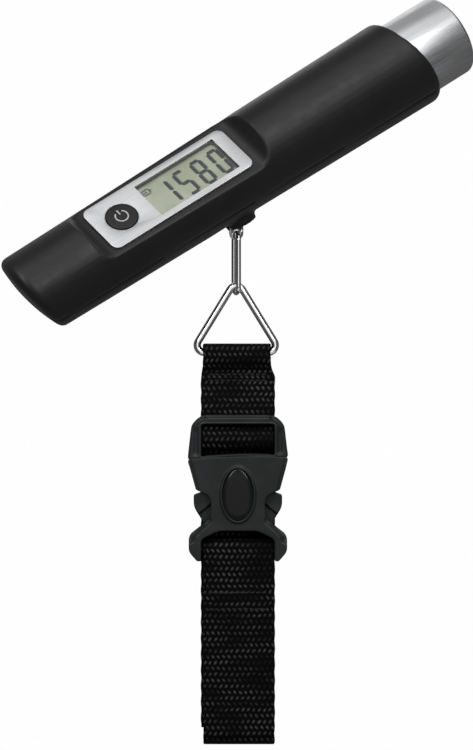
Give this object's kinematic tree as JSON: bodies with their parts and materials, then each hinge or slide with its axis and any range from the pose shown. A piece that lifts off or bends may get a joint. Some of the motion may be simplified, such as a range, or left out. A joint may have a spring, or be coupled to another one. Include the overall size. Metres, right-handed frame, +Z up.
{
  "type": "digital luggage scale",
  "caption": "Hand-held digital luggage scale: round tapered handle with a display and button, hanging a link, triangle ring and buckled webbing loop.",
  "frame": {"origin": "on the handle's axis, directly above the hanger pin, where the hand's hold balances the load", "axes": "+Z up with the strap hanging along -Z; +X across, towards the handle's raised end with the metal cap; -Y towards the side the display faces"},
  "size_m": [0.1689, 0.0999, 0.2698],
  "materials": {
    "soft_touch_abs": "soft-touch lacquered moulding",
    "brushed_aluminium": "linear brushed, clear anodised",
    "clear_acrylic": "polished clear acrylic",
    "lcd_glass": "reflective display glass",
    "button_abs": "fine textured moulding",
    "silicone_strip": "matt elastomer",
    "glass_epoxy": "solder-masked board",
    "black_resin": "glossy moulded resin",
    "steel_zinc": "bright zinc plated",
    "cell_aluminium": "machined, plain",
    "gauge_foil": "polyimide film",
    "tray_abs": "plain moulding",
    "cell_jacket": "shrink-wrapped cell jacket",
    "bright_steel": "nickel plated, bright",
    "nylon_webbing": "woven nylon webbing",
    "buckle_acetal": "satin moulded acetal",
    "gloss_acetal": "polished domed inset"
  },
  "bodies": {
    "handle": {"front_shell": "soft_touch_abs", "rear_shell": "soft_touch_abs", "bezel_plate": "brushed_aluminium", "display_lens": "clear_acrylic", "lcd_panel": "lcd_glass", "lcd_connector": "silicone_strip", "circuit_board": "glass_epoxy", "controller_chip": "black_resin", "button_dome": "steel_zinc", "load_cell": "cell_aluminium", "strain_gauges": "gauge_foil", "load_cell_screws": "steel_zinc", "load_yoke": "cell_aluminium", "yoke_screw": "steel_zinc", "hanger_pin": "steel_zinc", "battery_tray": "tray_abs", "batteries": "cell_jacket", "battery_contacts": "bright_steel", "shell_screws": "steel_zinc"},
    "button": {"button_cap": "button_abs"},
    "cap": {"end_cap": "brushed_aluminium", "cap_contact": "bright_steel"},
    "hanger": {"hanger_eye": "bright_steel"},
    "link": {"link_ring": "bright_steel"},
    "ring": {"triangle_ring": "bright_steel"},
    "strap": {"strap_short": "nylon_webbing", "strap_rear": "nylon_webbing", "buckle_male": "buckle_acetal"},
    "arm_left": {"buckle_arm_left": "buckle_acetal"},
    "arm_right": {"buckle_arm_right": "buckle_acetal"},
    "buckle_socket": {"buckle_female": "buckle_acetal", "emblem": "gloss_acetal", "strap_front": "nylon_webbing"}
  },
  "joints": [
    {"name": "button_press", "type": "slide", "parent": "handle", "child": "button", "axis": [0.0009, 0.8087, -0.5882], "range_m": [0, 0.0006], "stiffness_N_per_m": 800},
    {"name": "cap_pull", "type": "slide", "parent": "handle", "child": "cap", "axis": [0.7804, 0.3672, 0.506], "range_m": [0, 0.034]},
    {"name": "hanger_tilt", "type": "hinge", "parent": "handle", "child": "hanger", "pos_m": [0.0065, 0.00306, -0.01225], "axis": [0.4258, -0.9048, 0], "range_deg": [-5, 66]},
    {"name": "link_swing", "type": "hinge", "parent": "hanger", "child": "link", "pos_m": [0.0065, 0.00306, -0.0223], "axis": [0.9563, 0.2924, 0], "range_deg": [-40, 40]},
    {"name": "ring_swing", "type": "hinge", "parent": "link", "child": "ring", "pos_m": [0.0065, 0.00306, -0.041], "axis": [-0.2924, 0.9563, 0], "range_deg": [-25, 25]},
    {"name": "strap_swing", "type": "hinge", "parent": "ring", "child": "strap", "pos_m": [0.0065, 0.00306, -0.0623], "axis": [1, 0, 0], "range_deg": [-60, 60]},
    {"name": "arm_left_squeeze", "type": "hinge", "parent": "strap", "child": "arm_left", "pos_m": [-0.0018, 0.0006, -0.102], "axis": [0, -1, 0], "range_deg": [0, 12], "stiffness_Nm_per_rad": 0.3},
    {"name": "arm_right_squeeze", "type": "hinge", "parent": "strap", "child": "arm_right", "pos_m": [0.016, 0.0006, -0.102], "axis": [0, 1, 0], "range_deg": [0, 12], "stiffness_Nm_per_rad": 0.3},
    {"name": "buckle_release", "type": "slide", "parent": "strap", "child": "buckle_socket", "axis": [0, 0, -1], "range_m": [0, 0.026], "deforming": ["strap_rear", "buckle_arm_left", "buckle_arm_right"]}
  ]
}
